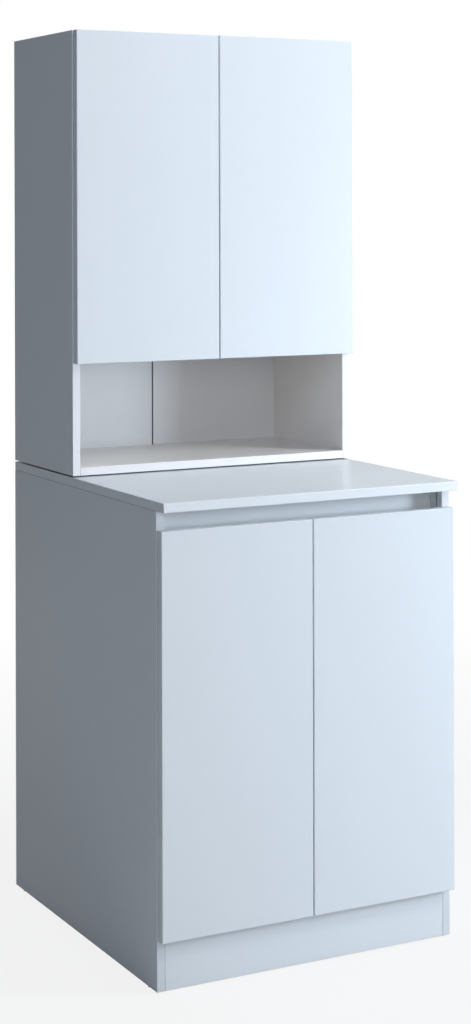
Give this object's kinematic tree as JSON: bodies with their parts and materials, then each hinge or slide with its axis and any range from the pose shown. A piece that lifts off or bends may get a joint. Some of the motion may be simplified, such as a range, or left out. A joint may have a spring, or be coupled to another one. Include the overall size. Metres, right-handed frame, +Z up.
{
  "type": "washing machine cabinet",
  "caption": "Tall two-piece utility cabinet: a doored floor unit over an open-backed machine bay, and a shallow doored wall unit with an open niche standing on its worktop.",
  "frame": {"origin": "floor level, under the middle of the cabinet's width and of its depth over the worktop", "axes": "+X to the right seen from the front, +Y to the rear, +Z up; the doors face -Y"},
  "size_m": [0.64, 0.72, 1.791],
  "materials": {
    "white_laminate": "matte white melamine on chipboard",
    "backing_sheet": "matte white lacquered fibreboard",
    "raw_fibreboard": "raw brown fibreboard",
    "white_plastic": "satin",
    "grey_felt": "felt",
    "zinc_steel": "zinc plated",
    "nickel_steel": "nickel plated"
  },
  "bodies": {
    "carcass": {"lower_side_left": "white_laminate", "lower_side_right": "white_laminate", "plinth": "white_laminate", "grip_rail": "white_laminate", "rear_rail": "white_laminate", "worktop": "white_laminate", "upper_side_left": "white_laminate", "upper_side_right": "white_laminate", "upper_top": "white_laminate", "niche_floor": "white_laminate", "fixed_shelf": "white_laminate", "loose_shelf": "white_laminate", "back_sheet_left": "backing_sheet", "back_sheet_right": "backing_sheet", "back_joint_strip": "raw_fibreboard", "glide_front_left": "white_plastic", "glide_front_right": "white_plastic", "glide_rear_left": "white_plastic", "glide_rear_right": "white_plastic", "pad_front_left": "grey_felt", "pad_front_right": "grey_felt", "pad_rear_left": "grey_felt", "pad_rear_right": "grey_felt", "joining_screw_front_left": "zinc_steel", "joining_screw_front_right": "zinc_steel", "shelf_pin_front_left": "zinc_steel", "shelf_pin_front_right": "zinc_steel", "shelf_pin_rear_left": "zinc_steel", "shelf_pin_rear_right": "zinc_steel", "wall_bracket_left": "zinc_steel", "wall_bracket_right": "zinc_steel", "hinge_arm_lower_left_lower": "nickel_steel", "hinge_arm_lower_left_upper": "nickel_steel", "hinge_arm_lower_right_lower": "nickel_steel", "hinge_arm_lower_right_upper": "nickel_steel", "hinge_arm_upper_left_lower": "nickel_steel", "hinge_arm_upper_left_upper": "nickel_steel", "hinge_arm_upper_right_lower": "nickel_steel", "hinge_arm_upper_right_upper": "nickel_steel"},
    "lower_left_door": {"lower_door_left": "white_laminate", "hinge_cup_lower_left_lower": "nickel_steel", "hinge_cup_lower_left_upper": "nickel_steel"},
    "lower_right_door": {"lower_door_right": "white_laminate", "hinge_cup_lower_right_lower": "nickel_steel", "hinge_cup_lower_right_upper": "nickel_steel"},
    "upper_left_door": {"upper_door_left": "white_laminate", "hinge_cup_upper_left_lower": "nickel_steel", "hinge_cup_upper_left_upper": "nickel_steel"},
    "upper_right_door": {"upper_door_right": "white_laminate", "hinge_cup_upper_right_lower": "nickel_steel", "hinge_cup_upper_right_upper": "nickel_steel"},
    "lower_left_links": {"hinge_link_lower_left_lower": "nickel_steel", "hinge_link_lower_left_upper": "nickel_steel"},
    "lower_right_links": {"hinge_link_lower_right_lower": "nickel_steel", "hinge_link_lower_right_upper": "nickel_steel"},
    "upper_left_links": {"hinge_link_upper_left_lower": "nickel_steel", "hinge_link_upper_left_upper": "nickel_steel"},
    "upper_right_links": {"hinge_link_upper_right_lower": "nickel_steel", "hinge_link_upper_right_upper": "nickel_steel"}
  },
  "joints": [
    {"name": "lower_left_door_swing", "type": "hinge", "parent": "carcass", "child": "lower_left_door", "pos_m": [-0.313, -0.339, 0.472], "axis": [0, 0, -1], "range_deg": [0, 105]},
    {"name": "lower_right_door_swing", "type": "hinge", "parent": "carcass", "child": "lower_right_door", "pos_m": [0.313, -0.339, 0.472], "axis": [0, 0, 1], "range_deg": [0, 105]},
    {"name": "upper_left_door_swing", "type": "hinge", "parent": "carcass", "child": "upper_left_door", "pos_m": [-0.313, 0.041, 1.459], "axis": [0, 0, -1], "range_deg": [0, 105]},
    {"name": "upper_right_door_swing", "type": "hinge", "parent": "carcass", "child": "upper_right_door", "pos_m": [0.313, 0.041, 1.459], "axis": [0, 0, 1], "range_deg": [0, 105]},
    {"name": "lower_left_link_turn", "type": "hinge", "parent": "carcass", "child": "lower_left_links", "pos_m": [-0.2943, -0.3357, 0.472], "axis": [0, 0, 1], "range_deg": [0, 22]},
    {"name": "lower_right_link_turn", "type": "hinge", "parent": "carcass", "child": "lower_right_links", "pos_m": [0.2943, -0.3357, 0.472], "axis": [0, 0, -1], "range_deg": [0, 22]},
    {"name": "upper_left_link_turn", "type": "hinge", "parent": "carcass", "child": "upper_left_links", "pos_m": [-0.2943, 0.0443, 1.459], "axis": [0, 0, 1], "range_deg": [0, 22]},
    {"name": "upper_right_link_turn", "type": "hinge", "parent": "carcass", "child": "upper_right_links", "pos_m": [0.2943, 0.0443, 1.459], "axis": [0, 0, -1], "range_deg": [0, 22]}
  ],
  "couplings": [
    {"joint": "lower_left_link_turn", "follows": "lower_left_door_swing", "ratio": 0.2066},
    {"joint": "lower_right_link_turn", "follows": "lower_right_door_swing", "ratio": 0.2066},
    {"joint": "upper_left_link_turn", "follows": "upper_left_door_swing", "ratio": 0.2066},
    {"joint": "upper_right_link_turn", "follows": "upper_right_door_swing", "ratio": 0.2066}
  ]
}
